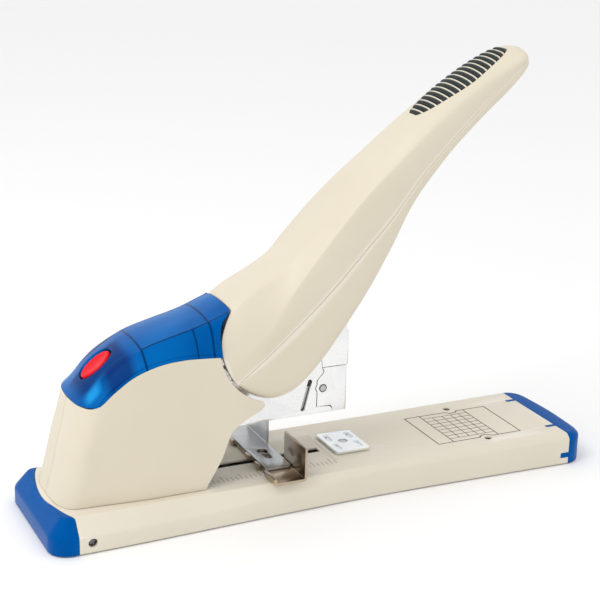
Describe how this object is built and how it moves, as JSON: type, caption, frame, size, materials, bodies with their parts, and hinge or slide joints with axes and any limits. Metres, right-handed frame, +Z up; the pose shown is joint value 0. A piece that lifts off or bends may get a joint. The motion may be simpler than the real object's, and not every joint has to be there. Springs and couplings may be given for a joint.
{
  "type": "heavy duty stapler",
  "caption": "Heavy-duty front-loading desk stapler with a long raised lever handle, steel head, sliding paper stop and long base.",
  "frame": {"origin": "on the table under the middle of the base, halfway along its length", "axes": "+X towards the open front end of the base, +Y to the left when looking along +X, +Z up"},
  "size_m": [0.3026, 0.0762, 0.224],
  "materials": {
    "cream_plastic": "satin moulded cream plastic",
    "cream_paint": "satin cream powder coat",
    "blue_plastic": "glossy solid blue plastic",
    "clear_blue_plastic": "glossy see-through blue plastic",
    "red_plastic": "glossy red plastic",
    "black_rubber": "matt moulded rubber",
    "nickel_steel": "bright nickel-plated sheet",
    "zinc_steel": "blue zinc-plated sheet",
    "bronze_steel": "dark bronze-toned plated sheet",
    "dark_steel": "hardened tool steel"
  },
  "bodies": {
    "base": {"base_plate": "cream_paint", "base_rear_cap": "blue_plastic", "base_front_cap": "blue_plastic", "bottom_cover": "zinc_steel", "foot_rear_right": "black_rubber", "foot_rear_left": "black_rubber", "foot_front_right": "black_rubber", "foot_front_left": "black_rubber", "base_cross_pin": "dark_steel", "anvil_plate": "zinc_steel", "anvil_rivet": "zinc_steel", "body_shell_right": "cream_plastic", "body_shell_left": "cream_plastic", "top_cover": "clear_blue_plastic", "frame_plate_right": "nickel_steel", "frame_plate_left": "nickel_steel", "frame_screw_rear_right": "zinc_steel", "frame_screw_front_right": "zinc_steel", "frame_screw_rear_left": "zinc_steel", "frame_screw_front_left": "zinc_steel", "handle_axle": "zinc_steel", "head_axle": "zinc_steel", "latch_axle": "zinc_steel", "frame_tie": "zinc_steel", "handle_spring": "nickel_steel", "head_lift_spring": "nickel_steel", "button_spring": "nickel_steel"},
    "handle": {"handle_upper_shell": "cream_plastic", "handle_lower_shell": "cream_plastic", "grip_inlay": "black_rubber", "handle_lever": "nickel_steel", "link_pin": "zinc_steel"},
    "link": {"drive_link": "zinc_steel"},
    "head": {"head_plate_right": "nickel_steel", "head_plate_left": "nickel_steel", "head_rivet_front": "zinc_steel", "head_rivet_rear": "zinc_steel", "head_front_guide": "nickel_steel"},
    "driver": {"driver_blade": "dark_steel", "driver_block_right": "zinc_steel", "driver_block_left": "zinc_steel", "driver_pin": "zinc_steel"},
    "magazine": {"magazine_channel": "zinc_steel", "magazine_core": "zinc_steel", "magazine_nose": "nickel_steel", "nose_rivet_right": "zinc_steel", "nose_rivet_left": "zinc_steel", "staple_strip": "nickel_steel", "pusher_rod": "nickel_steel", "pusher_spring": "nickel_steel"},
    "pusher": {"staple_pusher": "red_plastic"},
    "button": {"release_button": "red_plastic"},
    "latch": {"release_latch": "zinc_steel"},
    "paper_stop": {"paper_stop_bracket": "bronze_steel", "paper_stop_arm": "zinc_steel", "paper_stop_screw": "dark_steel", "paper_stop_shoe": "zinc_steel"}
  },
  "joints": [
    {"name": "handle_press", "type": "hinge", "parent": "base", "child": "handle", "pos_m": [-0.02775, 0, 0.0903], "axis": [0, 1, 0], "range_deg": [0, 45], "stiffness_Nm_per_rad": 1.2, "springref_deg": -34.38, "deforming": ["handle_spring"]},
    {"name": "head_drop", "type": "hinge", "parent": "base", "child": "head", "pos_m": [-0.12125, 0, 0.044], "axis": [0, 1, 0], "range_deg": [0, 8.5], "deforming": ["head_lift_spring"]},
    {"name": "driver_slide", "type": "slide", "parent": "head", "child": "driver", "axis": [0, 0, -1], "range_m": [0, 0.015]},
    {"name": "link_swing", "type": "hinge", "parent": "handle", "child": "link", "pos_m": [0.01359, 0, 0.11046], "axis": [0, 1, 0], "range_deg": [-45, 0]},
    {"name": "magazine_slide", "type": "slide", "parent": "head", "child": "magazine", "axis": [-1, 0, 0], "range_m": [-0.09, 0]},
    {"name": "pusher_slide", "type": "slide", "parent": "magazine", "child": "pusher", "axis": [1, 0, 0], "range_m": [-0.036, 0], "stiffness_N_per_m": 40, "springref_m": 0.03, "deforming": ["pusher_spring"]},
    {"name": "button_press", "type": "slide", "parent": "base", "child": "button", "axis": [0.6293, 0, -0.7771], "range_m": [0, 0.0035], "stiffness_N_per_m": 500, "springref_m": -0.002, "deforming": ["button_spring"]},
    {"name": "latch_swing", "type": "hinge", "parent": "base", "child": "latch", "pos_m": [-0.09875, 0, 0.0785], "axis": [0, 1, 0], "range_deg": [-12, 0]},
    {"name": "paper_stop_slide", "type": "slide", "parent": "base", "child": "paper_stop", "axis": [1, 0, 0], "range_m": [-0.028, 0.018]}
  ],
  "couplings": [
    {"joint": "head_drop", "follows": "handle_press", "ratio": 0.18889},
    {"joint": "driver_slide", "follows": "handle_press", "m_per_rad": 0.019099},
    {"joint": "link_swing", "follows": "handle_press", "ratio": -1},
    {"joint": "latch_swing", "follows": "button_press", "rad_per_m": -59.84}
  ]
}
